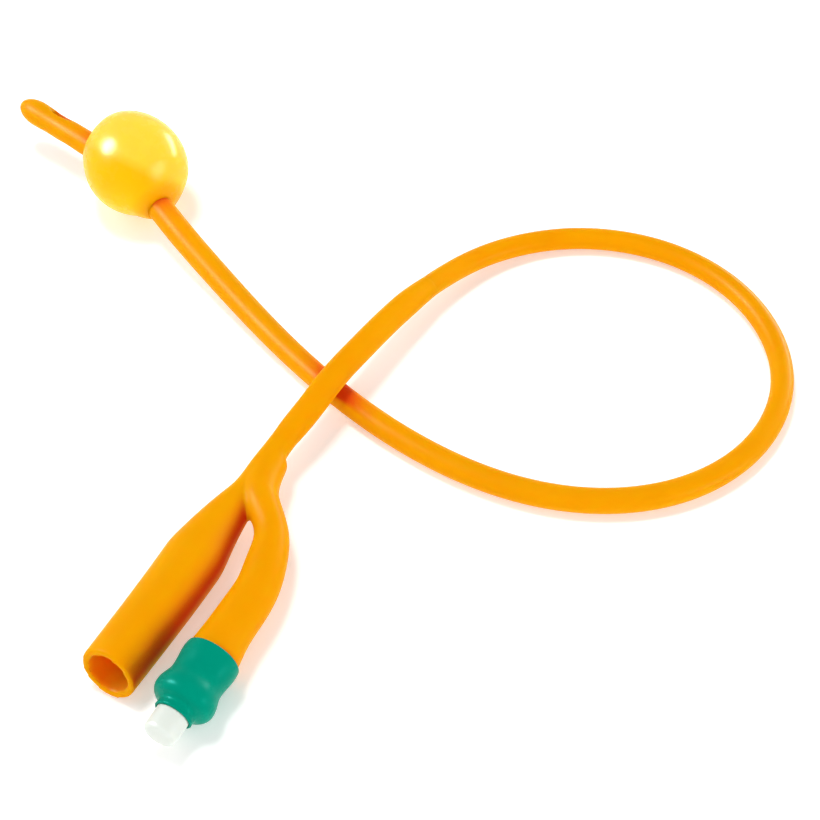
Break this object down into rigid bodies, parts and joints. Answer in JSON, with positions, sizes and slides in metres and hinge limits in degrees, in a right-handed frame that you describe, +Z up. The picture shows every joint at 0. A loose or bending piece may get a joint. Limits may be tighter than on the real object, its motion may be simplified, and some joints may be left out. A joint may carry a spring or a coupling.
{
  "type": "foley urinary catheter",
  "caption": "Two-way latex balloon catheter lying in one loop, balloon filled, with a flared drainage funnel and a side arm closed by a plugged valve.",
  "frame": {"origin": "on the surface that the catheter lies on, under the middle of the box round the Y funnel, sleeve and plug", "axes": "+Z up; the drainage funnel's mouth faces -Y and the neck runs towards +Y; +X towards the inflation arm's side and the loop"},
  "size_m": [0.174, 0.1455, 0.0207],
  "materials": {
    "latex": "satin orange latex",
    "stretched_latex": "glossy, thin and slightly translucent yellow latex",
    "green_rubber": "satin green rubber",
    "white_plastic": "satin off-white plastic"
  },
  "bodies": {
    "root": {"y_funnel": "latex", "drainage_shaft": "latex", "catheter_tip": "latex", "retention_balloon": "stretched_latex", "valve_sleeve": "green_rubber", "valve_plug": "white_plastic"}
  },
  "joints": []
}
